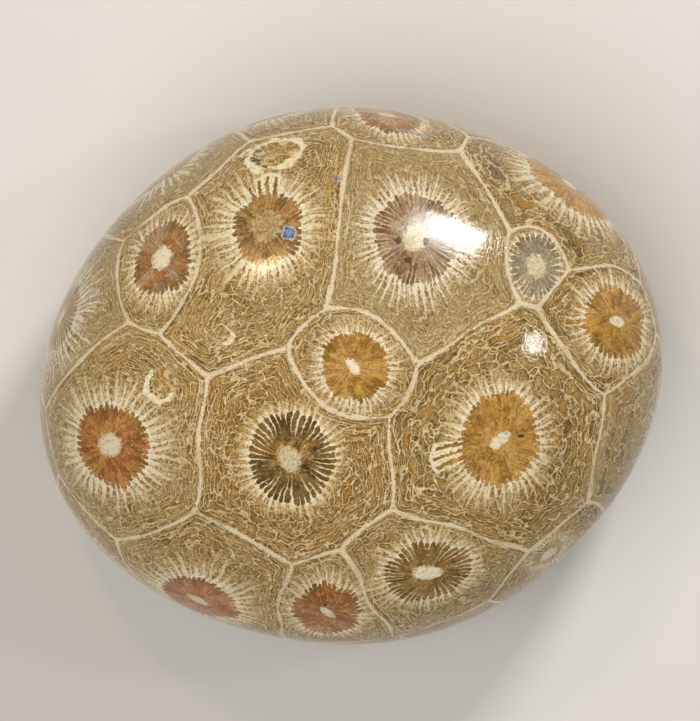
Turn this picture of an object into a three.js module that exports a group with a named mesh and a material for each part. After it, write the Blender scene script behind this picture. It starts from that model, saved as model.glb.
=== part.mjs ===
// A polished fossil coral head: one solid piece of coral limestone, ground and polished to a domed
// pebble and cut off flat underneath, where it rests.
//
// Millimetres, +Z up. The origin is at the middle of the stone's plan box, on the flat cut base.
// +X is the stone's long way, +Y its short way.
//
// The solid is a lathe turning whose every ring is pulled out to the stone's plan outline. From the
// base up, its profile is the flat cut, a rounded underside out to the girth, and a dome with full
// shoulders. The crown of the dome leans a little to one side.

import * as THREE from "three";
import { mergeVertices } from "three/addons/utils/BufferGeometryUtils.js";

// Driving dimensions
const MEAN_RADIUS = 40.6; // of the plan outline at the girth
const HEIGHT = 44;
const GIRTH_HEIGHT = 18; // where the stone is widest
const BASE_SHARE = 0.6; // the flat base's outline, as a share of the girth's

// How far the plan outline leaves a circle: waves round the stone, each a share of the mean radius
const OUTLINE_WAVES = [
  { lobes: 2, share: 0.077, towards: 10 }, // the long way and the short way
  { lobes: 4, share: 0.018, towards: 14 }, // the slightly squared corners
  { lobes: 3, share: 0.005, towards: -15 },
];

// Fullness of the rounded stretches: 2 is an ellipse, and more is fuller in the shoulder
const DOME_FULLNESS = 2.35;
const UNDERSIDE_FULLNESS = 2.1;

// The crown's place over the girth's middle, and the base's
const CROWN_LEAN = new THREE.Vector2(-4, -1.2);
const BASE_LEAN = new THREE.Vector2(1.2, 0.6);

// Facets
const SEGMENTS_ROUND = 96;
const DOME_STEPS = 22;
const UNDERSIDE_STEPS = 12;
const BASE_RINGS = 3;

const CORAL_BROWN = "#93794a";

const radians = THREE.MathUtils.degToRad;

// The plan outline's radius in a direction, as a share of the mean radius.
function outlineShare(angle) {
  return OUTLINE_WAVES.reduce(
    (sum, wave) => sum + wave.share * Math.cos(wave.lobes * (angle - radians(wave.towards))),
    1,
  );
}

// A point on a rounded quarter of the profile: turn 0 is level with the girth, a quarter turn is
// the pole. Gives the share of the way in and the share of the way up or down.
function roundedQuarter(turn, fullness) {
  return {
    out: Math.max(Math.cos(turn), 0) ** (2 / fullness),
    rise: Math.sin(turn) ** (2 / fullness),
  };
}

// The profile from the base's middle to the crown, with the girth at a radius of 1.
function profile() {
  const points = [];
  for (let i = 0; i < BASE_RINGS; i++) {
    points.push(new THREE.Vector2((BASE_SHARE * i) / BASE_RINGS, 0));
  }
  for (let i = UNDERSIDE_STEPS; i > 0; i--) {
    const { out, rise } = roundedQuarter((Math.PI / 2) * (i / UNDERSIDE_STEPS), UNDERSIDE_FULLNESS);
    points.push(new THREE.Vector2(BASE_SHARE + (1 - BASE_SHARE) * out, GIRTH_HEIGHT * (1 - rise)));
  }
  for (let i = 0; i < DOME_STEPS; i++) {
    const { out, rise } = roundedQuarter((Math.PI / 2) * (i / DOME_STEPS), DOME_FULLNESS);
    points.push(new THREE.Vector2(out, GIRTH_HEIGHT + (HEIGHT - GIRTH_HEIGHT) * rise));
  }
  points.push(new THREE.Vector2(0, HEIGHT));
  return points;
}

// How far a level's middle stands to the side of the girth's middle.
function leanAt(z) {
  const aboveGirth = (z - GIRTH_HEIGHT) / (HEIGHT - GIRTH_HEIGHT);
  const belowGirth = (GIRTH_HEIGHT - z) / GIRTH_HEIGHT;
  return z > GIRTH_HEIGHT
    ? CROWN_LEAN.clone().multiplyScalar(aboveGirth ** 2)
    : BASE_LEAN.clone().multiplyScalar(belowGirth ** 2);
}

// The stone: the turning, stood upright on +Z, pulled to the outline and leaned.
function coralHeadGeometry() {
  const turned = new THREE.LatheGeometry(profile(), SEGMENTS_ROUND);
  turned.rotateX(Math.PI / 2);
  turned.deleteAttribute("normal");
  turned.deleteAttribute("uv");
  const stone = mergeVertices(turned, 1e-5);
  const place = stone.attributes.position;
  for (let i = 0; i < place.count; i++) {
    const angle = Math.atan2(place.getY(i), place.getX(i));
    const radius = MEAN_RADIUS * outlineShare(angle);
    const lean = leanAt(place.getZ(i));
    place.setX(i, radius * place.getX(i) + lean.x);
    place.setY(i, radius * place.getY(i) + lean.y);
  }
  return middleOnOrigin(stone);
}

// Puts the middle of the plan box on the Z axis, and the base at z = 0.
function middleOnOrigin(geometry) {
  geometry.computeBoundingBox();
  const middle = geometry.boundingBox.getCenter(new THREE.Vector3());
  geometry.translate(-middle.x, -middle.y, -geometry.boundingBox.min.z);
  geometry.computeVertexNormals();
  return geometry;
}

const polishedCoral = new THREE.MeshStandardMaterial({
  color: CORAL_BROWN,
  roughness: 0.22,
  metalness: 0,
});

const coralHead = new THREE.Mesh(coralHeadGeometry(), polishedCoral);
coralHead.name = "coral_head";

const fossil = new THREE.Group();
fossil.add(coralHead);

export default fossil;
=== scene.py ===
"""A polished fossil coral head: its finished surface, and a plain studio to see it in.

The stone is one smooth solid. Its whole surface is a honeycomb of corallites, each the cut-through
home of one coral animal: a pale wall, a net of thin curved plates, a pale ring of septa round a brown
disc, and the columella in the middle. Where each corallite stands is worked out on the mesh and kept
in its attributes. The fine structure inside a corallite is drawn by the material from those.

Lengths are millimetres, and are turned into metres where they reach a mesh, a light or the camera.
"""

import math
from dataclasses import dataclass

import bpy
import numpy as np
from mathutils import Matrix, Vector
from mathutils.bvhtree import BVHTree


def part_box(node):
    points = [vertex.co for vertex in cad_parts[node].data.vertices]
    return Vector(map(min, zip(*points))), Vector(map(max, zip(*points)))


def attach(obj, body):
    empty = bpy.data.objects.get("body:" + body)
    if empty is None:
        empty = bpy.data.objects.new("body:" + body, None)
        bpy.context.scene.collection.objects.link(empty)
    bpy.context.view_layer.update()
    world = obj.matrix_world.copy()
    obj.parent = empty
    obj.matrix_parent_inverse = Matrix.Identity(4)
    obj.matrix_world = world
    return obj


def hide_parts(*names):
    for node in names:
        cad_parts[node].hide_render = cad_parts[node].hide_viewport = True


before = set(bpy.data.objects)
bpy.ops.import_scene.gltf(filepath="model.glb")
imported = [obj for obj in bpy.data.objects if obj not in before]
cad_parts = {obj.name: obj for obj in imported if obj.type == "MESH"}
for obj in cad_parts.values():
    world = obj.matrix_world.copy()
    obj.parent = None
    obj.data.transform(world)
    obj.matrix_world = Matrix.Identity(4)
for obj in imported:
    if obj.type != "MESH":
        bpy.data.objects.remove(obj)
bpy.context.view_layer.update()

MM = 0.001
STONE_NODE = "coral_head"

# The stone's mesh: a cube's faces cut up, rounded, laid on the stone and smoothed
CAGE_CUTS = 15
SMOOTH_LEVELS = 3
CAGE_SHARE = 0.9  # of the stone's size, before the cage is laid on it
GIRTH_HEIGHT = 18.0

# The finishes of the corallites' discs, each a lighter and a darker colour
DISC_FINISHES = {
    "amber": ("#c29446", "#8e6428"),
    "honey": ("#c69a5c", "#9a7038"),
    "cinnamon": ("#b98450", "#8a5c36"),
    "rust": ("#b87e49", "#88502a"),
    "umber": ("#a08049", "#4d3617"),
    "walnut": ("#b08d52", "#6a4f28"),
    "mauve": ("#b2936f", "#77533a"),
    "stone": ("#aa9b7d", "#80715a"),
    "sand": ("#c4ab7a", "#97794a"),
}


@dataclass
class Corallite:
    """One corallite, seen from above. A side one is placed by its bearing and height instead."""

    at: tuple  # x and y of the disc's middle, or the bearing and height of a side one
    disc: float  # the disc's radius
    reach: float  # how far its own ground reaches before it meets its neighbours
    finish: tuple = ("amber", "rust")  # of the disc, and of the patches in it
    off: tuple = (0.0, 0.0)  # from the disc's middle to the middle of the walls
    oval: tuple = (1.0, 0.0)  # how much longer the disc is than wide, and towards which bearing
    ground: tuple = None  # the same for its ground, where that isn't as the disc is
    holds: float = 1.0  # how firmly it stays round among its neighbours
    ring: float = 2.6  # the pale ring's width
    columella: tuple = (1.3, 1.1, 0.0)  # half its length, half its width and its bearing
    pale: float = 0.7  # how pale the columella is
    septa: int = 40
    lined: float = 0.2  # how clearly the septa show as pale lines across the disc
    golden: float = 0.5  # how golden the net round it is
    # Haze: partly the stone's own milky tone, partly a painted veil of reflected light
    haze_and_sheen: float = 0.3  # how pale and grey it is
    fine: float = 1.0  # how fine the net's meshes are
    lobed: float = 0.8  # how deep the notches between the disc's lobes are
    comb: tuple = None  # the bearing, length and spacing of a comb of long gaps, if it has one


@dataclass
class Inclusion:
    """Something small grown or trapped in a corallite, seen from above: an oval with its own finish."""

    at: tuple  # x and y of its middle
    half: tuple  # half its length and half its width
    bearing: float = 0.0  # of its length
    rim: float = 0.0  # how strongly a pale rim shows, from 0 to 1
    filling: float = 0.0  # how strongly its own brown net shows
    mineral: float = 0.0  # how strongly it is blue-grey mineral, or, below zero, a dark pit
    open_to: float = None  # the bearing in which its rim is open, if it is


# The crown's corallites, from the middle outwards
CROWN_CORALLITES = [
    Corallite(
        (0.3, 1.3), 4.5, 8.1, ("amber", "honey"), (0.0, 0.1), holds=2.6, ring=1.5, lobed=0.35,
        columella=(1.3, 0.65, -55), pale=1.0, septa=42, lined=0.1, golden=0.7,
    ),
    Corallite(
        (-8.5, -11.4), 5.7, 12.6, ("umber", "amber"), (0.2, -0.4), (1.06, 60),
        ground=(1.12, 45), ring=1.6, columella=(1.8, 1.4, -60), pale=0.3, septa=42, lined=1.0,
        golden=1.0, haze_and_sheen=0.1, lobed=0.9,
    ),
    Corallite(
        (20.5, -8.9), 5.9, 14.2, ("amber", "honey"), (-0.7, 0.3), (1.12, 90), ring=2.3,
        columella=(1.6, 0.8, 38), pale=0.75, septa=44, lined=0.0, golden=0.3, haze_and_sheen=0.2, fine=0.75,
        comb=(190, 4.4, 1.25),
    ),
    Corallite(
        (8.8, 19.1), 6.0, 12.7, ("mauve", "stone"), (0.2, -2.4), (1.16, 90), ring=2.2, lobed=0.35,
        columella=(2.0, 1.5, 60), pale=0.6, septa=52, lined=0.58, golden=0.0, haze_and_sheen=0.8,
    ),
    Corallite(
        (-11.7, 20.8), 4.8, 12.2, ("walnut", "cinnamon"), (-0.9, -2.3), (1.15, 90),
        ground=(1.3, 68), ring=3.0, columella=(2.2, 1.8, 75), pale=0.0, golden=0.3,
        comb=(92, 2.8, 1.3),
    ),
    Corallite(
        (-33.5, -9.6), 5.5, 11.4, ("rust", "amber"), (1.6, -0.1), (1.06, 0),
        ground=(1.1, 127), ring=3.1, columella=(1.8, 1.5, 20), pale=0.6, septa=42, lined=0.1,
        golden=0.3, haze_and_sheen=0.4,
    ),
    Corallite(
        (-26.3, 16.4), 4.5, 6.9, ("cinnamon", "stone"), (0.3, -0.2), (1.25, 88), holds=2.1, ring=1.7,
        columella=(1.75, 1.35, 80), pale=0.85, septa=38, lined=0.4, lobed=0.6,
    ),
    Corallite(
        (25.7, 15.3), 3.8, 4.6, ("stone", "stone"), (0.2, 1.2), (1.12, 85), holds=2.0, ring=0.7,
        columella=(1.7, 1.4, 80), pale=0.4, septa=30, lined=0.7, golden=0.2, haze_and_sheen=0.8, lobed=0.5,
    ),
    Corallite(
        (37.0, 7.6), 5.2, 8.4, ("amber", "honey"), (-1.0, 0.1), (1.16, 0), holds=1.8, ring=1.8,
        columella=(1.3, 0.7, 0), pale=0.8, septa=38, lined=0.0, golden=0.5, fine=0.7, lobed=0.9,
    ),
    Corallite(
        (10.6, -27.3), 5.0, 9.0, ("walnut", "honey"), (0.2, 0.2), (1.3, 0), ring=2.0, lobed=0.9,
        columella=(2.0, 1.1, -10), pale=0.95, septa=42, lined=0.8, golden=0.5, fine=0.85,
    ),
    Corallite(
        (-3.3, -32.9), 4.8, 7.4, ("rust", "cinnamon"), (-0.3, 0.4), (1.25, 90), holds=1.3, ring=1.6,
        columella=(1.4, 0.6, -60), pale=0.7, septa=38, lined=0.3, golden=0.6,
    ),
    Corallite(
        (-21.4, -31.3), 5.4, 11.4, ("rust", "cinnamon"), (0.9, 1.6), (1.15, 55), ring=3.0,
        columella=(1.6, 1.0, -35), pale=0.4, lined=0.1,
    ),
    Corallite(
        (5.1, 36.6), 4.9, 7.2, ("cinnamon", "sand"), (1.0, 0.4), (1.4, 90), holds=1.2, ring=1.6,
        columella=(1.3, 0.9, 0), pale=0.5, haze_and_sheen=0.4, fine=0.8,
    ),
    Corallite(
        (30.6, 27.0), 6.8, 11.4, ("honey", "amber"), (-0.1, -2.0), ring=2.8, golden=0.3, haze_and_sheen=0.5,
        fine=0.55,
    ),
    Corallite(
        (-40.7, 8.2), 4.7, 9.2, ("sand", "sand"), (0.5, 0.8), ring=3.3, columella=(1.3, 1.1, 60),
        pale=0.8, septa=44, lined=0.8, golden=0.0, haze_and_sheen=0.9,
    ),
]

# The corallites just over the shoulder, all the way round
SIDE_CORALLITES = [
    Corallite((-10, 15), 5.4, 10.5, ("honey", "sand"), (0, 7), golden=0.0, haze_and_sheen=1.2, fine=0.55),
    Corallite((-28, 8), 4.4, 6.0, ("rust", "amber")),
    Corallite(
        (-42, 28), 2.4, 8.7, ("sand", "sand"), (-1, -8), ring=1.6, lined=0.9, golden=0.7, fine=0.6,
    ),
    Corallite((-62, 14), 4.8, 9.0, ("stone", "sand"), golden=0.2, haze_and_sheen=0.6),
    Corallite((64, 14), 4.2, 7.0, ("rust", "amber")),
    Corallite((107, 19), 4.4, 7.0, ("sand", "amber"), haze_and_sheen=0.5),
    Corallite((132, 21), 5.4, 10.4, ("sand", "honey"), golden=0.2, haze_and_sheen=0.8),
    Corallite((214, 18), 5.4, 9.7, ("rust", "umber"), haze_and_sheen=0.4),
]

# Young corallites budding inside their elders, grains of mineral and small dark pits
INCLUSIONS = [
    Inclusion((-10.8, 31.0), (3.9, 2.9), 14, rim=1.0, filling=0.9),
    Inclusion((-26.3, -1.1), (2.2, 2.3), 0, rim=1.0, filling=0.9, open_to=45),
    Inclusion((-18.3, 5.8), (2.0, 1.2), -12, rim=0.9, filling=0.3, open_to=-160),
    Inclusion((-8.7, 19.8), (1.0, 1.05), 20, mineral=1.0),
    Inclusion((-1.9, 27.5), (0.5, 0.8), 70, mineral=0.5),
    Inclusion((-32.7, 21.2), (1.0, 0.5), 40, mineral=0.5),
    Inclusion((8.8, 33.9), (2.6, 0.5), -12, mineral=0.5),
    Inclusion((21.4, -7.9), (0.25, 0.3), 0, mineral=0.8),
    Inclusion((6.4, 18.7), (0.45, 0.4), 20, mineral=-0.8),
    Inclusion((10.3, 18.7), (0.5, 0.4), 60, mineral=-0.8),
    Inclusion((7.9, 16.0), (0.6, 0.4), -20, mineral=-0.8),
    Inclusion((23.5, -8.3), (0.4, 0.25), 0, mineral=-0.9),
    Inclusion((-3.7, -31.8), (0.35, 0.25), 40, mineral=-0.9),
]

# The rest of the stone fills up with more, each put in the widest gap left
FILL_SEED = 7
FILL_REACH = (7.5, 11.5)
FILL_SMALLEST_GAP = 5.5
FILL_BELOW = 13.0  # the crown and the shoulders are full already

FACING_SHARE = (1.0, 1.0, 1.6)  # turns the way from the heart to a place about square to the surface

WALL_BEND = 0.3  # how far the walls sway from their even course
WALL_WAVES = 0.4  # how quickly they do, in radians for each millimetre
WAVE_STARTS = (0.4, 1.9, 1.1)

SEED_STEP = 7.31  # between one corallite's own random pattern and the next's
FAR_OUT = 9.0  # the place in an inclusion's oval of what is in none
WELL_OUTSIDE = 200.0  # further than the stone reaches, to look at it from

RELIEF_DEPTH = 0.007  # of the blades and plates in the polish
STONE_IOR = 1.42

# The studio
FLOOR_WIDTH = 6000.0
LIGHT_AWAY = 650.0
CAMERA_HEIGHT = 1100.0  # above the stone's girth
CAMERA_X = -0.2
STONE_SHARE = 0.893  # of the picture's width
STONE_LOW = 0.022  # how far the stone's middle is below the picture's, in picture widths


# -------- the stone's mesh


def deselect_all():
    """Leaves nothing selected, so that an operator acts only on what is added next."""
    bpy.ops.object.select_all(action="DESELECT")


def add_modifier(piece, name, kind, **settings):
    """Puts a modifier on a piece and applies it."""
    modifier = piece.modifiers.new(name, kind)
    for key, value in settings.items():
        setattr(modifier, key, value)
    bpy.ops.object.modifier_apply(modifier=name)


def model_stone():
    """The polished stone: a rounded cage of even quads, laid on the stone's solid and smoothed."""
    low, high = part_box(STONE_NODE)
    deselect_all()
    bpy.ops.mesh.primitive_cube_add(size=1.0)
    stone = bpy.context.object
    stone.name = "coral_head_polished"
    bpy.ops.object.mode_set(mode="EDIT")
    bpy.ops.mesh.select_all(action="SELECT")
    bpy.ops.mesh.subdivide(number_cuts=CAGE_CUTS)
    bpy.ops.transform.tosphere(value=1.0)
    bpy.ops.transform.resize(value=(high - low) * CAGE_SHARE)
    bpy.ops.transform.translate(value=(low + high) / 2)
    bpy.ops.object.mode_set(mode="OBJECT")
    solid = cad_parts[STONE_NODE]
    add_modifier(stone, "lay_on_solid", "SHRINKWRAP", target=solid, wrap_method="NEAREST_SURFACEPOINT")
    add_modifier(stone, "even_out", "SMOOTH", factor=0.5, iterations=4)
    add_modifier(stone, "lay_again", "SHRINKWRAP", target=solid, wrap_method="NEAREST_SURFACEPOINT")
    add_modifier(stone, "polish", "SUBSURF", levels=SMOOTH_LEVELS, render_levels=SMOOTH_LEVELS)
    bpy.ops.object.shade_smooth()
    return stone


# -------- where the corallites stand


def unit(vector):
    """A vector of the same direction and length 1."""
    return vector / np.linalg.norm(vector)


def heading(bearing):
    """The level direction of a bearing."""
    turn = math.radians(bearing)
    return np.array([math.cos(turn), math.sin(turn), 0.0])


def surface_axes(normal, bearing):
    """Two directions in the surface: the one nearest to a bearing, and the one across it."""
    along = heading(bearing)
    along = unit(along - normal * (along @ normal))
    return along, np.cross(normal, along)


def oval_place(offset, normal, bearing, half):
    """Offsets from an oval's middle as shares of its half length and half width."""
    along, across = surface_axes(normal, bearing)
    return np.stack([offset @ along / half[0], offset @ across / half[1]], axis=1)


def bent(points):
    """Points moved in slow waves, so that the walls worked out from them sway a little."""
    x, y, z = points.T
    turns = WALL_WAVES * np.stack([y + z, x - z, x + y], axis=1)
    return points + WALL_BEND * np.sin(turns + WAVE_STARTS)


class StoneSurface:
    """The finished mesh as numbers, in millimetres, and places found on it."""

    def __init__(self, stone):
        mesh = stone.data
        self.tree = BVHTree.FromObject(stone, bpy.context.evaluated_depsgraph_get())
        self.points = self.read(mesh.vertices, "co", 3, np.float64) / MM
        self.faces = self.read(mesh.polygons, "vertices", 4, np.int32)
        self.face_middles = self.points[self.faces].mean(axis=1)

    @staticmethod
    def read(items, name, width, kind):
        """One value of every vertex or face of the mesh, as rows."""
        values = np.zeros(len(items) * width, dtype=kind)
        items.foreach_get(name, values)
        return values.reshape(-1, width)

    def hit(self, start, direction):
        """Where a straight line first meets the stone, and which way the surface faces there."""
        place, normal, _, _ = self.tree.ray_cast(Vector(start) * MM, Vector(direction))
        return np.array(place) / MM, np.array(normal)

    def from_above(self, x, y):
        """The place on the dome at x and y."""
        return self.hit((x, y, WELL_OUTSIDE), (0, 0, -1))

    def from_side(self, bearing, height):
        """The place on the side at a bearing and a height."""
        outwards = heading(bearing)
        return self.hit(outwards * WELL_OUTSIDE + (0, 0, height), -outwards)


class PlacedCorallite:
    """A corallite on the surface, with the directions that its oval is measured along."""

    def __init__(self, corallite, place, normal, walls_middle):
        self.kind = corallite
        self.place = place
        self.normal = normal
        self.walls_middle = walls_middle
        ratio, bearing = corallite.oval
        self.along, self.across = surface_axes(normal, bearing)
        self.stretch = math.sqrt(ratio)
        ratio, bearing = corallite.ground or corallite.oval
        self.ground_along, self.ground_across = surface_axes(normal, bearing)
        self.ground_stretch = math.sqrt(ratio)

    def ground_offset(self, offset):
        """An offset with the ground's oval pressed into a circle."""
        along = (offset @ self.ground_along) * (1 / self.ground_stretch - 1)
        across = (offset @ self.ground_across) * (self.ground_stretch - 1)
        return offset + np.outer(along, self.ground_along) + np.outer(across, self.ground_across)

    def claim(self, points):
        """How far points are outside this corallite's own ground, and the way in which that grows."""
        offset = self.ground_offset(bent(points) - self.walls_middle)
        distance = np.maximum(np.linalg.norm(offset, axis=1), 1e-6)
        growth = self.ground_offset(offset) / distance[:, None]
        return self.kind.holds * (distance - self.kind.reach), self.kind.holds * growth

    def in_columella(self, points):
        """Where points are in the columella's oval, 1 being its edge."""
        length, width, bearing = self.kind.columella
        return oval_place(points - self.place, self.normal, bearing, (length, width))

    def local(self, points):
        """Points laid out flat round the disc's middle, with the oval pressed into a circle."""
        offset = points - self.place
        flat = np.stack([offset @ self.along, offset @ self.across], axis=1)
        length = np.linalg.norm(offset, axis=1)
        flat_length = np.maximum(np.linalg.norm(flat, axis=1), 1e-6)
        laid_out = flat * (length / flat_length)[:, None]
        return laid_out * (1 / self.stretch, self.stretch)

    def comb_way(self):
        """Its comb's way and length in its own flat layout, and the comb's spacing."""
        if self.kind.comb is None:
            return (0.0, 0.0, 0.0)
        bearing, length, spacing = self.kind.comb
        towards = heading(bearing)
        flat = unit(np.array([towards @ self.along, towards @ self.across])) * length
        return (*flat, spacing)


def place_corallite(find, corallite):
    """Puts a listed corallite on the stone, where find says that its place is."""
    place, normal = find(*corallite.at)
    walls_middle, _ = find(*np.add(corallite.at, corallite.off))
    return PlacedCorallite(corallite, place, normal, walls_middle)


def fill_corallites(surface, placed):
    """Adds corallites in the widest gaps, until the whole stone is covered."""
    chance = np.random.default_rng(FILL_SEED)
    finishes = list(DISC_FINISHES)
    low = surface.face_middles[:, 2] < FILL_BELOW
    spots = surface.face_middles[low][::5]
    gap = np.min([one.claim(spots)[0] for one in placed], axis=0)
    while gap.max() > FILL_SMALLEST_GAP:
        place = spots[gap.argmax()]
        reach = chance.uniform(*FILL_REACH)
        corallite = Corallite(
            at=tuple(place[:2]),
            disc=reach * chance.uniform(0.46, 0.56),
            reach=reach,
            finish=tuple(chance.choice(finishes, 2)),
            oval=(chance.uniform(1.0, 1.25), chance.uniform(0, 180)),
            ring=chance.uniform(1.7, 2.9),
            columella=(chance.uniform(1.1, 1.9), chance.uniform(0.6, 1.2), chance.uniform(0, 180)),
            pale=chance.uniform(0.2, 1.0),
            septa=int(chance.integers(36, 46)),
            lined=chance.uniform(0.0, 0.8),
            golden=chance.uniform(0.1, 0.9),
            haze_and_sheen=chance.uniform(0.2, 0.7),
            fine=chance.uniform(0.65, 1.1),
            lobed=chance.uniform(0.5, 1.0),
        )
        normal = unit((place - (0, 0, GIRTH_HEIGHT)) * FACING_SHARE)
        one = PlacedCorallite(corallite, place, normal, place)
        placed.append(one)
        gap = np.minimum(gap, one.claim(spots)[0])


def wall_distances(own, claims, growths, vertices):
    """How far vertices are from the walls of one corallite, less than zero just beyond a wall."""
    lead = claims[vertices] - claims[vertices, own][:, None]
    closing = np.linalg.norm(growths[vertices] - growths[vertices, own][:, None], axis=2)
    distance = lead / np.maximum(closing, 1e-3)
    distance[:, own] = np.inf
    return distance.min(axis=1)


def keep(stone, name, domain, values):
    """Stores values in the mesh under a name: colours where each has four parts, else vectors."""
    kind, part = ("FLOAT_COLOR", "color") if values.shape[-1] == 4 else ("FLOAT_VECTOR", "vector")
    stone.data.attributes.new(name, kind, domain).data.foreach_set(part, values.ravel())


def lay_out_places(stone, surface, placed, owner):
    """Keeps in the mesh each face's place in its corallite, in its columella, and from its walls."""
    told = [one.claim(surface.points) for one in placed]
    claims = np.stack([claim for claim, _ in told], axis=1)
    growths = np.stack([growth for _, growth in told], axis=1)
    corner_place = np.zeros((len(owner), 4, 3))
    corner_columella = np.zeros((len(owner), 4, 3))
    for index, one in enumerate(placed):
        mine = owner == index
        vertices = surface.faces[mine].ravel()
        if not len(vertices):
            continue
        points = surface.points[vertices]
        wall = wall_distances(index, claims, growths, vertices)
        corner_place[mine] = np.column_stack([one.local(points), wall]).reshape(-1, 4, 3)
        paleness = np.full(len(vertices), one.kind.pale)
        in_columella = np.column_stack([one.in_columella(points), paleness])
        corner_columella[mine] = in_columella.reshape(-1, 4, 3)
    keep(stone, "corallite_place", "CORNER", corner_place)
    keep(stone, "columella_place", "CORNER", corner_columella)


def lay_out_corallites(stone, surface, placed):
    """Keeps in the mesh, for each face, its place in its own corallite and that one's looks."""
    owner = np.stack([one.claim(surface.face_middles)[0] for one in placed], axis=1).argmin(axis=1)
    lay_out_places(stone, surface, placed, owner)
    kinds = [one.kind for one in placed]
    finishes = [(*DISC_FINISHES[kind.finish[0]], DISC_FINISHES[kind.finish[1]][0]) for kind in kinds]
    rows = {
        "corallite_size": [(kind.disc, kind.ring, i * SEED_STEP) for i, kind in enumerate(kinds)],
        "corallite_build": [(kind.septa, kind.lobed, kind.fine) for kind in kinds],
        "corallite_looks": [(kind.lined, kind.golden, kind.haze_and_sheen) for kind in kinds],
        "corallite_comb": [one.comb_way() for one in placed],
        "disc_light": [linear(light) for light, _, _ in finishes],
        "disc_deep": [linear(deep) for _, deep, _ in finishes],
        "disc_patch": [linear(patch) for _, _, patch in finishes],
    }
    for name, values in rows.items():
        keep(stone, name, "FACE", np.array(values)[owner])


def lay_out_inclusions(stone, surface):
    """Keeps in the mesh, for the faces about each inclusion, their place in its oval and its looks."""
    count = len(surface.faces)
    corner_place = np.full((count, 4, 3), FAR_OUT)
    face_look = np.zeros((count, 3))
    face_gap = np.zeros((count, 3))
    for one in INCLUSIONS:
        middle, normal = surface.from_above(*one.at)
        offset = surface.points - middle
        oval = oval_place(offset, normal, one.bearing, one.half)
        about = np.linalg.norm(offset, axis=1) < 2.0 * max(one.half) + 1.0
        mine = about[surface.faces].all(axis=1)
        corner_place[mine, :, :2] = oval[surface.faces[mine]]
        face_look[mine] = (one.rim, one.filling, one.mineral)
        if one.open_to is not None:
            face_gap[mine] = heading(one.open_to - one.bearing)
    keep(stone, "inclusion_place", "CORNER", corner_place)
    keep(stone, "inclusion_look", "FACE", face_look)
    keep(stone, "inclusion_gap", "FACE", face_gap)


# -------- the polished coral's material


def linear(code):
    """A colour code as the linear red, green, blue and alpha that materials take."""
    shares = [int(code[i : i + 2], 16) / 255 for i in (1, 3, 5)]
    return [s / 12.92 if s <= 0.04045 else ((s + 0.055) / 1.055) ** 2.4 for s in shares] + [1.0]


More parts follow.
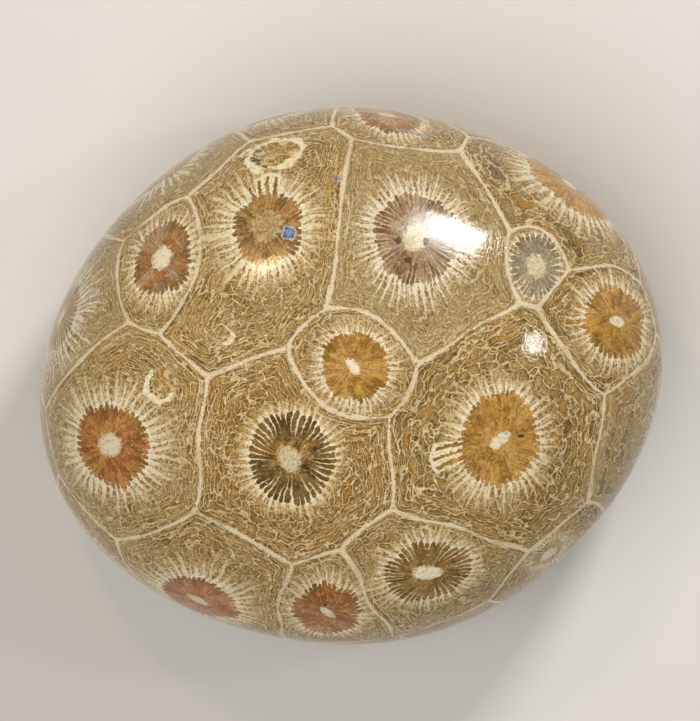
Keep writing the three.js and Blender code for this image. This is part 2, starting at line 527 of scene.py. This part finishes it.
class Graph:
    """One material's nodes. Each call adds a node, feeds its inputs and gives its output."""

    def __init__(self, name):
        self.material = bpy.data.materials.new(name)
        self.material.use_nodes = True
        self.tree = self.material.node_tree
        self.tree.nodes.clear()

    def node(self, kind, inputs, **settings):
        """A node with its settings made and its inputs fed: numbers, colour codes or other outputs."""
        node = self.tree.nodes.new(kind)
        for name, value in settings.items():
            setattr(node, name, value)
        for key, value in inputs.items():
            if isinstance(value, bpy.types.NodeSocket):
                self.tree.links.new(value, node.inputs[key])
            elif isinstance(value, str):
                node.inputs[key].default_value = linear(value)
            else:
                node.inputs[key].default_value = value
        return node

    def math(self, operation, *values):
        """A sum, product or other function of numbers."""
        inputs = dict(enumerate(values))
        return self.node("ShaderNodeMath", inputs, operation=operation).outputs[0]

    def times(self, first, second):
        """One number times another."""
        return self.math("MULTIPLY", first, second)

    def slope(self, value, steepness, start):
        """A number times a steepness, from a start."""
        return self.math("MULTIPLY_ADD", value, steepness, start)

    def apart(self, first, second):
        """How far apart two numbers are."""
        return self.math("ABSOLUTE", self.math("SUBTRACT", first, second))

    def vector(self, operation, *values):
        """A function of vectors that gives a vector."""
        inputs = dict(enumerate(values))
        return self.node("ShaderNodeVectorMath", inputs, operation=operation).outputs["Vector"]

    def length(self, vector):
        """A vector's length."""
        return self.node("ShaderNodeVectorMath", {0: vector}, operation="LENGTH").outputs["Value"]

    def dot(self, first, second):
        """How far one vector goes along another."""
        inputs = {0: first, 1: second}
        return self.node("ShaderNodeVectorMath", inputs, operation="DOT_PRODUCT").outputs["Value"]

    def scaled(self, vector, factor):
        """A vector made longer or shorter."""
        inputs = {0: vector, "Scale": factor}
        return self.node("ShaderNodeVectorMath", inputs, operation="SCALE").outputs["Vector"]

    def split(self, vector):
        """A vector's three parts."""
        return self.node("ShaderNodeSeparateXYZ", {0: vector}).outputs[:3]

    def join(self, x, y, z):
        """A vector from its three parts."""
        return self.node("ShaderNodeCombineXYZ", {0: x, 1: y, 2: z}).outputs[0]

    def attribute(self, name, output="Vector"):
        """What the mesh keeps under a name."""
        return self.node("ShaderNodeAttribute", {}, attribute_name=name).outputs[output]

    def rise(self, value, start, end, low=0.0, high=1.0):
        """A soft step from low to high as the value goes from start to end."""
        inputs = {"Value": value, "From Min": start, "From Max": end, "To Min": low, "To Max": high}
        return self.node("ShaderNodeMapRange", inputs, interpolation_type="SMOOTHSTEP").outputs[0]

    def curve(self, value, points):
        """A run of straight stretches through points, each a value and its result."""
        first, last = points[0][0], points[-1][0]
        inputs = {"Value": value, "From Min": first, "From Max": last}
        share = self.node("ShaderNodeMapRange", inputs).outputs[0]
        node = self.node("ShaderNodeValToRGB", {0: share})
        stops = node.color_ramp.elements
        while len(stops) < len(points):
            stops.new(0.5)
        for stop, (at, result) in zip(stops, points):
            stop.position = (at - first) / (last - first)
            stop.color = (result, result, result, 1.0)
        return node.outputs["Color"]

    def blend(self, share, first, second, mode="MIX"):
        """A mix of two colours."""
        inputs = {0: share, 6: first, 7: second}
        node = self.node("ShaderNodeMix", inputs, data_type="RGBA", blend_type=mode)
        return node.outputs[2]

    def between(self, share, first, second):
        """A mix of two numbers."""
        return self.node("ShaderNodeMix", {0: share, 2: first, 3: second}).outputs[0]

    def noise(self, at, scale, detail=2.0, roughness=0.5, output="Fac"):
        """Soft random variation, around a half."""
        inputs = {"Vector": at, "Scale": scale, "Detail": detail, "Roughness": roughness}
        return self.node("ShaderNodeTexNoise", inputs).outputs[output]

    def sway(self, at, scale, detail, roughness=0.5):
        """Small random moves, every way alike."""
        moves = self.noise(at, scale, detail, roughness, output="Color")
        return self.vector("SUBTRACT", moves, (0.5, 0.5, 0.5))

    def chips(self, at, feature, output):
        """Irregular cells about 1 wide: their edges, or a random value for each."""
        inputs = {"Vector": at, "Scale": 1.0}
        return self.node("ShaderNodeTexVoronoi", inputs, feature=feature).outputs[output]

    def dice(self, x, y):
        """Three random numbers for each pair of whole numbers."""
        inputs = {"Vector": self.join(x, y, 0.0)}
        node = self.node("ShaderNodeTexWhiteNoise", inputs, noise_dimensions="2D")
        return self.split(node.outputs["Color"])


class CorallitePlace:
    """Where a point of the surface lies inside its corallite."""

    def __init__(self, g):
        self.spot = g.scaled(g.node("ShaderNodeTexCoord", {}).outputs["Object"], 1 / MM)
        self.disc, self.ring, self.seed = g.split(g.attribute("corallite_size"))
        self.septa, self.lobed, self.fine = g.split(g.attribute("corallite_build"))
        self.lined, self.golden, self.haze_and_sheen_amount = g.split(g.attribute("corallite_looks"))

        # Variation over the stone, from patches some millimetres wide down to a grain that just shows
        self.patches = g.noise(self.spot, 0.16, 2.0)
        self.soft = g.noise(self.spot, 1.0, 2.0, 0.6)
        self.speckle = g.noise(self.spot, 2.4, 3.0, 0.7)
        self.grain = g.noise(self.spot, 7.0, 2.0, 0.6)
        self.ragged = g.slope(self.speckle, 0.5, -0.25)

        # The whole pattern wavers a little, as a thing that grew does
        waver = g.sway(self.spot, 0.2, 1.0)
        shiver = g.sway(self.spot, 1.2, 2.0)
        moved = g.vector("ADD", g.scaled(waver, 1.8), g.scaled(shiver, 0.35))
        place = g.attribute("corallite_place")
        x, y, _ = g.split(g.vector("ADD", place, moved))
        wall_moved = g.vector("ADD", place, g.scaled(moved, 0.4))
        self.wall = g.math("ABSOLUTE", g.split(wall_moved)[2])

        self.flat = g.join(x, y, 0.0)
        self.out = g.length(self.flat)
        self.way = g.vector("NORMALIZE", self.flat)
        self.turn = g.math("ARCTAN2", y, x)
        self.own_way = g.vector("ADD", self.way, g.join(0.0, 0.0, self.seed))
        uneven = g.noise(self.own_way, 1.2, 1.0)
        edge = g.times(self.disc, g.slope(uneven, 0.3, 0.85))
        self.beyond = g.math("SUBTRACT", self.out, edge)
        self.inward = g.math("DIVIDE", self.beyond, self.disc)
        ring = g.times(self.ring, g.slope(uneven, -0.9, 1.45))
        self.past_disc = g.math("DIVIDE", self.beyond, ring)
        along = g.join(0.0, 0.0, g.times(self.out, 0.7))
        self.streak = g.noise(g.vector("ADD", g.scaled(self.own_way, 11.0), along), 1.0, 2.0, 0.6)
        self.fine_streak = g.noise(g.vector("ADD", g.scaled(self.own_way, 24.0), along), 1.0, 3.0, 0.6)


class Septa:
    """The blades that stand round the disc, and where a point lies between two of them."""

    def __init__(self, g, c):
        jitter = g.math("SUBTRACT", g.noise(c.own_way, 3.5, 2.0), 0.5)
        turns = g.slope(c.turn, g.math("DIVIDE", c.septa, 2 * math.pi), jitter)
        from_gap = g.apart(g.math("FRACT", turns), 0.5)
        ragged = g.slope(c.speckle, 0.9, -0.45)
        self.across = g.slope(from_gap, 2.0, ragged)  # 0 between two blades, 1 on one
        blade_number = g.math("FLOORED_MODULO", g.math("ROUND", turns), c.septa)
        self.blade_length, self.blade_width, _ = g.dice(blade_number, c.seed)
        self.gap_number = g.math("FLOORED_MODULO", g.math("FLOOR", turns), c.septa)
        gap_seed = g.math("ADD", c.seed, 0.37)
        self.gap_length, self.gap_tone, self.gap_start = g.dice(self.gap_number, gap_seed)

    def blade(self, g, width):
        """Where a blade is, for its share of the way to the next one."""
        start = g.math("SUBTRACT", 1.0, width)
        return g.rise(self.across, g.math("SUBTRACT", start, 0.14), g.math("ADD", start, 0.12))


class Comb:
    """Three long gaps that run on from the disc of a few corallites, closed by a pale bar."""

    def __init__(self, g, c):
        way_x, way_y, spacing = g.split(g.attribute("corallite_comb"))
        reach = g.join(way_x, way_y, 0.0)
        length = g.length(reach)
        towards = g.vector("NORMALIZE", reach)
        sideways = g.vector("CROSS_PRODUCT", towards, (0.0, 0.0, 1.0))
        past_edge = g.math("SUBTRACT", g.dot(c.flat, towards), c.disc)
        fanned = g.times(spacing, g.slope(past_edge, 0.06, 0.86))
        wobble = g.slope(c.soft, 0.6, -0.3)
        lane = g.math("ADD", g.math("DIVIDE", g.dot(c.flat, sideways), fanned), wobble)
        own_lane = g.math("MINIMUM", g.math("MAXIMUM", g.math("ROUND", lane), -1.0), 1.0)
        from_gap = g.apart(lane, own_lane)
        within = g.rise(g.math("ABSOLUTE", lane), 1.62, 1.4)
        bowed = g.slope(g.times(lane, lane), 0.3, past_edge)
        past_bar = g.math("SUBTRACT", g.math("ADD", bowed, g.times(wobble, 1.5)), length)
        begun = g.times(g.rise(c.beyond, -0.5, 0.0), g.rise(past_edge, -1.2, -0.6))
        self.far = g.math("DIVIDE", past_edge, length)
        half = g.slope(self.far, -0.08, 0.27)
        self.gap = g.rise(g.math("SUBTRACT", g.math("ADD", from_gap, c.ragged), half), 0.06, -0.06)
        self.zone = g.times(g.times(begun, within), g.rise(past_bar, 0.1, -0.1))
        self.inside = g.rise(from_gap, 0.4, 0.5)
        self.bar = g.times(within, g.rise(g.math("ABSOLUTE", past_bar), 0.34, 0.16))


def disc_lobes(g, c, s):
    """The disc, with a rounded lobe between every two septa."""
    across = g.math("MINIMUM", g.times(s.across, s.across), 1.2)
    rounded = g.times(g.times(across, across), c.lobed)
    reach = g.slope(s.gap_length, 0.5, g.times(c.lobed, 0.35))
    edge = g.math("SUBTRACT", g.math("ADD", c.beyond, rounded), reach)
    return g.rise(g.math("ADD", edge, c.ragged), 0.08, -0.12)


def disc_lines(g, c, s):
    """The septa's inner ends, as thin lines across the disc."""
    line = s.blade(g, g.between(c.lined, 0.13, 0.2))
    start = g.slope(s.blade_length, 0.6, -0.7)
    return g.times(line, g.rise(c.inward, start, g.math("ADD", start, 0.3)))


def ring_blades(g, c, s):
    """The septa beyond the disc, with thin plates across their gaps. Gives them and each gap's tone."""
    taper = [(-0.1, 1.0), (0.1, 0.98), (0.3, 0.68), (0.6, 0.46), (1.1, 0.3), (1.9, 0.14)]
    width = g.slope(s.blade_width, 0.5, 0.75)
    width = g.times(g.curve(c.past_disc, taper), width)
    stretch = g.math("DIVIDE", c.past_disc, g.slope(s.blade_length, 0.9, 0.65))
    blade = g.times(s.blade(g, width), g.rise(stretch, 1.5, 0.9))

    # A thin young blade stands in the middle of some gaps
    young = g.times(g.rise(s.across, 0.22, 0.0), g.rise(s.gap_tone, 0.4, 0.5, 0.0, 0.9))
    young_taper = [(0.2, 0.0), (0.5, 1.0), (1.1, 0.8), (1.7, 0.0)]
    young = g.times(young, g.curve(c.past_disc, young_taper))

    # Plates cross from blade to blade, and bow outwards
    bow = g.times(g.times(s.across, s.across), 0.35)
    steps = g.slope(c.beyond, 1.15, g.slope(s.gap_start, 9.0, bow))
    steps = g.slope(c.soft, 1.5, steps)
    from_hole = g.apart(g.math("FRACT", steps), 0.5)
    plate = g.times(g.rise(from_hole, 0.36, 0.46), g.rise(c.past_disc, 1.5, 0.9, 0.0, 0.85))
    gap_tone, _, _ = g.dice(s.gap_number, g.math("ADD", g.math("FLOOR", steps), c.seed))

    # Fine streaks of crystal run outwards over all of it
    streaked = g.curve(c.past_disc, [(-0.1, 0.5), (0.4, 0.85), (1.2, 0.7), (2.2, 0.0)])
    streaked = g.times(streaked, g.rise(c.fine_streak, 0.5, 0.62))
    blades = g.math("MAXIMUM", g.math("MAXIMUM", blade, young), g.math("MAXIMUM", plate, streaked))
    return blades, gap_tone


class Net:
    """The thin curved plates between ring and wall, the meshes they close in, and painted shade just
    inside each mesh along its plates.
    """

    def __init__(self, g, c):
        around = g.scaled(c.way, g.times(c.fine, 9.0))
        ripple = g.scaled(g.noise(c.spot, 0.5, 1.0, output="Color"), 1.4)
        outwards = g.times(c.beyond, c.fine)
        inwards = g.times(c.wall, c.fine)
        by_ring = g.vector(
            "ADD",
            g.vector("MULTIPLY", around, (0.75, 0.75, 0.0)),
            g.join(0.0, 0.0, g.slope(outwards, 0.95, c.seed)),
        )
        by_wall = g.vector(
            "ADD",
            g.vector("MULTIPLY", around, (0.42, 0.42, 0.0)),
            g.join(5.0, 0.0, g.slope(inwards, 1.35, c.seed)),
        )
        parting = g.math("SUBTRACT", c.wall, g.times(c.beyond, 0.8))
        parting = g.slope(g.noise(c.spot, 0.7, 1.0), 3.0, parting)
        by_ring_share = g.rise(parting, 2.4, 0.8)
        self.coarse = g.rise(c.fine, 0.9, 0.6)
        thin = g.slope(c.soft, 0.1, -0.04)
        thick = g.math("ADD", thin, 0.07)
        plates, painted_hollow_shades, tones = [], [], []
        for place in (by_ring, by_wall):
            at = g.vector("ADD", place, ripple)
            from_plate = g.chips(at, "DISTANCE_TO_EDGE", "Distance")
            plates.append(g.rise(from_plate, thick, thin))
            # Painted shade: each mesh darkens just inside its plates, as the shadow in a hollow would
            painted_hollow_shades.append(g.rise(from_plate, 0.32, 0.08))
            tones.append(g.split(g.chips(at, "F1", "Color"))[0])

        # Finer plates run on along the walls, one behind another, and a still finer net fills the rest
        wander = g.times(g.noise(c.spot, 0.35, 2.0, 0.5), 3.2)
        strata = g.math("FRACT", g.slope(inwards, 1.7, wander))
        strata = g.rise(g.apart(strata, 0.5), 0.38, 0.47)
        strata = g.times(strata, g.slope(by_ring_share, 0.65, 0.1))
        strata = g.times(strata, g.slope(self.coarse, -0.8, 1.0))
        finest = g.chips(g.scaled(c.spot, 1.9), "DISTANCE_TO_EDGE", "Distance")
        finest = g.times(g.rise(finest, 0.14, 0.03), g.rise(c.soft, 0.4, 0.6, 0.05, 0.4))
        plate = g.math("MAXIMUM", g.between(by_ring_share, *plates), strata)
        self.plate = g.math("MAXIMUM", plate, finest)
        self.painted_hollow_shade = g.between(by_ring_share, *painted_hollow_shades)
        self.tone = g.between(by_ring_share, *tones)


def grained(g, c, colour, depth, sparkle=1.0):
    """A colour with the stone's fine grain: darker in the hollows, paler on the crystals."""
    dark = g.rise(c.speckle, 0.5, 0.32, 0.0, depth)
    colour = g.blend(dark, colour, "#4a3216")
    colour = g.blend(g.rise(c.speckle, 0.54, 0.72, 0.0, depth), colour, "#e6cf9e")
    light = g.curve(c.grain, [(0.3, 0.62), (0.5, 1.0), (0.7, 1.32)])
    return g.blend(sparkle, colour, light, "MULTIPLY")


def ground_colour(g, c, net):
    """The net between ring and wall: honey-brown meshes with painted shade along their plates, and pale
    plates; pale and grey in places, partly the stone's milky tone and partly a painted veil of
    reflected light.
    """
    golden = g.slope(c.golden, 0.3, c.patches)
    # Pale grey patches: partly the stone's milky tone, partly a painted veil of reflected light
    haze_and_sheen = g.slope(c.haze_and_sheen_amount, 0.5, g.noise(c.spot, 0.3, 3.0, 0.6))
    haze_and_sheen = g.rise(haze_and_sheen, 0.55, 0.95)
    meshes = g.blend(net.tone, "#86662d", "#ab8747")
    meshes = g.blend(g.rise(golden, 0.5, 0.8, 0.0, 0.8), meshes, "#9f702a")
    meshes = g.blend(g.times(haze_and_sheen, 0.7), meshes, "#a69269")
    amber = g.times(g.rise(net.tone, 0.86, 0.9, 0.0, 0.6), net.coarse)
    meshes = g.blend(amber, meshes, "#a9782f")
    deep = g.times(g.rise(net.tone, 0.35, 0.1), g.slope(net.coarse, 0.35, 0.2))
    meshes = g.blend(deep, meshes, "#503c1c")
    # Painted shade inside each mesh along its plates, weaker where the net is hazy
    painted_hollow_shade = g.times(net.painted_hollow_shade, g.slope(haze_and_sheen, -0.35, 0.7))
    meshes = g.blend(painted_hollow_shade, meshes, "#4e3714")
    plates = g.blend(g.rise(c.speckle, 0.35, 0.65), "#cfb277", "#e8d3a0")
    shown = g.times(net.plate, g.slope(haze_and_sheen, -0.25, 0.85))
    return g.blend(shown, meshes, plates)


def ring_colour(g, c, ground, blades, gap_tone):
    """Lays the pale ring and its brown gaps over the ground."""
    gaps = g.blend(gap_tone, "#775b2b", "#ab8a50")
    gaps = g.blend(g.times(c.golden, 0.6), gaps, "#a67a38")
    colour = g.blend(g.curve(c.past_disc, [(-0.2, 1.0), (0.7, 1.0), (1.4, 0.0)]), ground, gaps)
    cream = g.blend(g.rise(c.past_disc, 0.0, 1.3), "#f2e6c2", "#d8c08a")
    cream = g.blend(g.rise(c.soft, 0.6, 0.35, 0.0, 0.5), cream, "#c0a672")
    # The cream greys where the corallite is hazy: partly its milky tone, partly a painted veil of
    # reflected light
    cream = g.blend(g.times(c.haze_and_sheen_amount, 0.6), cream, "#e2dac6")
    return g.blend(g.times(blades, 0.9), colour, cream)


def disc_colour(g, c, s):
    """The brown disc: mottled and streaked outwards, with its corallite's own finishes."""
    light = g.attribute("disc_light", "Color")
    deep = g.attribute("disc_deep", "Color")
    own_spot = g.vector("ADD", c.spot, g.join(c.seed, 0.0, 0.0))
    mottle = g.noise(own_spot, 0.55, 3.0, 0.65)
    patched = g.rise(g.noise(own_spot, 0.25, 2.0), 0.47, 0.57, 0.0, 0.9)
    disc = g.blend(g.rise(mottle, 0.38, 0.62), light, deep)
    disc = g.blend(patched, disc, g.attribute("disc_patch", "Color"))
    disc = g.blend(g.rise(c.streak, 0.5, 0.62, 0.0, 0.75), disc, deep)
    disc = g.blend(g.rise(c.streak, 0.48, 0.36, 0.0, 0.7), disc, light)
    disc = g.blend(g.rise(c.fine_streak, 0.52, 0.64, 0.0, 0.45), disc, deep)

    # Every lobe has its own tone, and on one side of the disc their tips are olive-dark
    lobe_share = g.rise(c.inward, -0.7, -0.2, 0.0, 0.7)
    disc = g.blend(g.times(g.rise(s.gap_tone, 0.5, 1.0), lobe_share), disc, deep)
    disc = g.blend(g.times(g.rise(s.gap_tone, 0.4, 0.0), lobe_share), disc, light)
    wedge = g.times(g.rise(c.inward, -0.65, -0.3, 0.0, 0.5), g.rise(c.lined, 0.4, 0.9))
    disc = g.blend(wedge, disc, deep)
    olive_side = g.rise(g.noise(c.own_way, 0.9, 1.0), 0.5, 0.62, 0.0, 0.6)
    tips = g.times(g.rise(c.inward, -0.28, -0.05), olive_side)
    disc = g.blend(tips, disc, "#6b5625")
    return grained(g, c, disc, 0.4, sparkle=0.6)


def lined_disc(g, c, s):
    """The disc's colour with its lines: pale ones where they show clearly, else dark."""
    pale = g.blend(g.rise(c.inward, -0.6, -0.1), "#bda067", "#eadab0")
    dark = g.blend(0.55, g.attribute("disc_deep", "Color"), "#33220e")
    line_colour = g.blend(g.rise(c.lined, 0.3, 0.7), dark, pale)
    lines = g.times(disc_lines(g, c, s), g.rise(c.lined, 0.0, 1.0, 0.6, 0.9))
    return g.blend(lines, disc_colour(g, c, s), line_colour), lines


def add_comb(g, c, colour, disc):
    """Lays a comb's long gaps, the thick blades between them with painted shade along their middles,
    and its bar over a colour.
    """
    comb = Comb(g, c)
    gaps = g.blend(g.rise(comb.far, 0.2, 0.9, 0.0, 0.75), disc, "#7a6334")
    cream = g.blend(g.rise(c.speckle, 0.3, 0.6), "#cdb782", "#ebdfb8")
    # Painted shade: the blades darken along their middles towards the far end, as a hollow's shade
    painted_hollow_shade = g.times(comb.inside, g.rise(comb.far, 0.3, 0.8, 0.0, 0.6))
    cream = g.blend(painted_hollow_shade, cream, "#b09560")
    colour = g.blend(comb.zone, colour, g.blend(comb.gap, cream, gaps))
    return g.blend(comb.bar, colour, "#ddd0b0")


def columella(g, c):
    """The irregular lump in the middle of the disc. Gives where it is and its colour."""
    place = g.attribute("columella_place")
    _, _, pale = g.split(place)
    shiver = g.sway(c.spot, 1.4, 3.0, 0.7)
    x, y, _ = g.split(g.vector("ADD", place, g.scaled(shiver, 1.3)))
    out = g.length(g.join(x, y, 0.0))
    colour = g.blend(g.rise(c.speckle, 0.36, 0.6), "#9c8658", "#cab98c")
    pale_share = g.times(g.rise(c.speckle, 0.3, 0.5, 0.4, 1.0), pale)
    colour = g.blend(pale_share, colour, "#ebe0c0")
    rim = g.rise(g.apart(out, 0.95), 0.2, 0.05, 0.0, 0.7)
    body = g.times(g.rise(out, 1.1, 0.8), g.rise(pale, 0.0, 0.4, 0.45, 0.95))
    return g.math("MAXIMUM", body, rim), colour


def add_walls(g, c, colour):
    """Lays the walls over a colour, with a thin line beside them here and there."""
    half = g.slope(g.noise(c.spot, 0.8, 2.0), 0.4, 0.06)
    frayed = g.slope(c.speckle, 0.6, -0.3)
    past_wall = g.math("SUBTRACT", g.math("ADD", c.wall, frayed), half)
    wall = g.times(g.rise(past_wall, 0.1, -0.12), g.rise(c.patches, 0.35, 0.5, 0.7, 1.0))
    beside = g.slope(g.noise(c.spot, 0.25, 1.0), 1.4, 0.4)
    line = g.rise(g.apart(c.wall, beside), 0.13, 0.03)
    line = g.times(line, g.rise(c.patches, 0.5, 0.6, 0.0, 0.6))
    wall_colour = g.blend(g.rise(c.grain, 0.35, 0.65), "#c9b58e", "#e6d8ba")
    return g.blend(g.math("MAXIMUM", wall, line), colour, wall_colour)


def add_inclusions(g, c, colour):
    """Lays the buds, the grains of mineral and the pits over a colour."""
    rim, filling, mineral = g.split(g.attribute("inclusion_look"))
    place = g.attribute("inclusion_place")
    shiver = g.sway(c.spot, 0.7, 3.0, 0.6)
    x, y, _ = g.split(g.vector("ADD", place, g.scaled(shiver, 0.9)))
    flat = g.join(x, y, 0.0)
    out = g.length(flat)
    way = g.vector("NORMALIZE", flat)

    # A bud's own net, over a hollow that is dark in one part and amber in another
    cells_at = g.vector("ADD", g.scaled(way, 2.6), g.join(0.0, 0.0, g.times(out, 2.0)))
    cells = g.rise(g.chips(cells_at, "DISTANCE_TO_EDGE", "Distance"), 0.14, 0.03, 0.0, 0.8)
    own = g.blend(g.rise(x, -0.6, -0.3), "#54401f", "#94702f")
    own = g.blend(cells, own, "#d9c796")
    colour = g.blend(g.times(g.rise(out, 1.05, 0.9), filling), colour, own)

    closed = g.rise(g.dot(way, g.attribute("inclusion_gap")), 0.4, 0.1, 0.1, 1.0)
    half = g.slope(g.noise(c.spot, 0.35, 2.0), 0.8, -0.25)
    past_rim = g.math("SUBTRACT", g.apart(out, 1.0), half)
    edge = g.rise(g.slope(c.ragged, 0.4, past_rim), 0.05, -0.05)
    pale = g.blend(g.rise(c.speckle, 0.35, 0.6), "#cdb98a", "#ece0be")
    colour = g.blend(g.times(edge, g.times(rim, closed)), colour, pale)

    out = g.slope(c.ragged, 2.6, out)
    grey = g.blend(g.rise(c.speckle, 0.4, 0.6), "#515c76", "#8b98ae")
    grey = g.blend(g.rise(out, 0.75, 1.0), grey, "#c9c9c0")
    grey = g.blend(g.rise(mineral, 0.0, -0.1), grey, "#3b322c")
    shown = g.times(g.rise(out, 1.15, 0.95), g.math("ABSOLUTE", mineral))
    return g.blend(shown, colour, grey)


def add_pits_and_painted_glints(g, c, colour):
    """Scatters small dark pits and painted glints, tiny bright specks that stand for the polish's
    sparkle, over a colour.
    """
    chips = g.node("ShaderNodeTexVoronoi", {"Vector": c.spot, "Scale": 1.7}, feature="F1")
    chance, size, _ = g.split(chips.outputs["Color"])
    past_edge = g.math("SUBTRACT", chips.outputs["Distance"], g.slope(size, 0.16, 0.04))
    fleck = g.rise(past_edge, 0.06, -0.03)
    dark = g.times(fleck, g.rise(chance, 0.86, 0.88, 0.0, 0.7))
    # Painted glints: tiny bright specks standing for sparkle off the polish
    painted_glint = g.times(fleck, g.rise(chance, 0.14, 0.12, 0.0, 0.6))
    colour = g.blend(dark, colour, "#33260f")
    return g.blend(painted_glint, colour, "#f4ecd6")


def polished_coral():
    """The stone's finish, all over."""
    g = Graph("polished_coral")
    c = CorallitePlace(g)
    s = Septa(g, c)
    net = Net(g, c)
    blades, gap_tone = ring_blades(g, c, s)

    colour = ground_colour(g, c, net)
    colour = ring_colour(g, c, colour, blades, gap_tone)
    colour = grained(g, c, colour, 0.25)
    disc, lines = lined_disc(g, c, s)
    colour = g.blend(disc_lobes(g, c, s), colour, disc)
    colour = add_comb(g, c, colour, disc)
    heart, heart_colour = columella(g, c)
    colour = g.blend(heart, colour, heart_colour)
    colour = add_walls(g, c, colour)
    colour = add_inclusions(g, c, colour)
    colour = add_pits_and_painted_glints(g, c, colour)

    relief = g.slope(blades, 0.6, g.times(net.plate, 0.4))
    relief = g.math("ADD", relief, g.slope(lines, 0.5, c.fine_streak))
    bump = g.node("ShaderNodeBump", {"Strength": 1.0, "Distance": RELIEF_DEPTH * MM, "Height": relief})
    roughness = g.curve(c.speckle, [(0.3, 0.03), (0.7, 0.08)])
    shader = g.node(
        "ShaderNodeBsdfPrincipled",
        {"Base Color": colour, "Roughness": roughness, "Normal": bump.outputs[0], "IOR": STONE_IOR},
    )
    g.node("ShaderNodeOutputMaterial", {"Surface": shader.outputs[0]})
    return g.material


# -------- the studio


def plain_material(name, code, roughness):
    """A plain finish for the studio's floor."""
    g = Graph(name)
    inputs = {"Base Color": code, "Roughness": roughness}
    shader = g.node("ShaderNodeBsdfPrincipled", inputs)
    g.node("ShaderNodeOutputMaterial", {"Surface": shader.outputs[0]})
    return g.material


def lay_floor():
    """A wide pale floor under the stone."""
    deselect_all()
    bpy.ops.mesh.primitive_plane_add(size=FLOOR_WIDTH * MM)
    floor = bpy.context.object
    floor.name = "floor"
    floor.data.materials.append(plain_material("pale_floor", "#d8d5cf", 0.7))


def shine_light(surface, name, seen_at, width, watts, tint="#ffffff"):
    """A soft light whose reflection the camera sees at a place on the dome."""
    place, normal = surface.from_above(*seen_at)
    to_camera = unit(np.array(bpy.context.scene.camera.location) / MM - place)
    towards = 2 * (normal @ to_camera) * normal - to_camera
    bpy.ops.object.light_add(type="AREA", location=Vector(place + towards * LIGHT_AWAY) * MM)
    light = bpy.context.object
    light.name = name
    light.rotation_euler = Vector(-towards).to_track_quat("-Z", "Y").to_euler()
    light.data.size = width * MM
    light.data.energy = watts
    light.data.color = linear(tint)[:3]


def fill_light(name, place, size, watts):
    """A wide soft light that brightens the stone without showing in its gloss."""
    bpy.ops.object.light_add(type="AREA", location=Vector(place) * MM)
    light = bpy.context.object
    light.name = name
    light.rotation_euler = (-Vector(place)).to_track_quat("-Z", "Y").to_euler()
    light.data.size = size * MM
    light.data.energy = watts
    light.visible_camera = False
    light.visible_glossy = False


def light_studio(surface):
    """A main light, two smaller ones and an even fill."""
    deselect_all()
    shine_light(surface, "main_light", (14.1, 19.8), 130.0, 2.4)
    shine_light(surface, "second_light", (25.2, 4.3), 65.0, 0.35)
    shine_light(surface, "warm_light", (-12.2, 15.0), 55.0, 0.45, tint="#ffd6a0")
    fill_light("overhead_fill", (-500, -500, 1380), 1500.0, 18.0)
    world = bpy.data.worlds.new("studio_air")
    world.use_nodes = True
    background = world.node_tree.nodes["Background"]
    background.inputs["Color"].default_value = linear("#f4f2ee")
    background.inputs["Strength"].default_value = 0.15
    bpy.context.scene.world = world
    bpy.context.scene.view_settings.view_transform = "Standard"


def set_camera():
    """Looks straight down on the dome, with +Y up in the picture."""
    low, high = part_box(STONE_NODE)
    picture_width = (high.x - low.x) / STONE_SHARE
    aim_y = (low.y + high.y) / 2 + STONE_LOW * picture_width
    bpy.ops.object.camera_add(location=(CAMERA_X * MM, aim_y, (CAMERA_HEIGHT + GIRTH_HEIGHT) * MM))
    camera = bpy.context.object
    camera.name = "camera"
    camera.data.sensor_fit = "HORIZONTAL"
    camera.data.lens = camera.data.sensor_width * CAMERA_HEIGHT * MM / picture_width
    camera.data.clip_end = 10.0
    bpy.context.scene.camera = camera


# -------- putting it together


def make_coral_head():
    """The finished stone, in place of the plain solid."""
    stone = model_stone()
    surface = StoneSurface(stone)
    placed = [place_corallite(surface.from_above, one) for one in CROWN_CORALLITES]
    placed += [place_corallite(surface.from_side, one) for one in SIDE_CORALLITES]
    fill_corallites(surface, placed)
    lay_out_corallites(stone, surface, placed)
    lay_out_inclusions(stone, surface)
    stone.data.materials.append(polished_coral())
    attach(stone, "root")
    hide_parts(STONE_NODE)
    return surface


set_camera()
stone_surface = make_coral_head()
lay_floor()
light_studio(stone_surface)
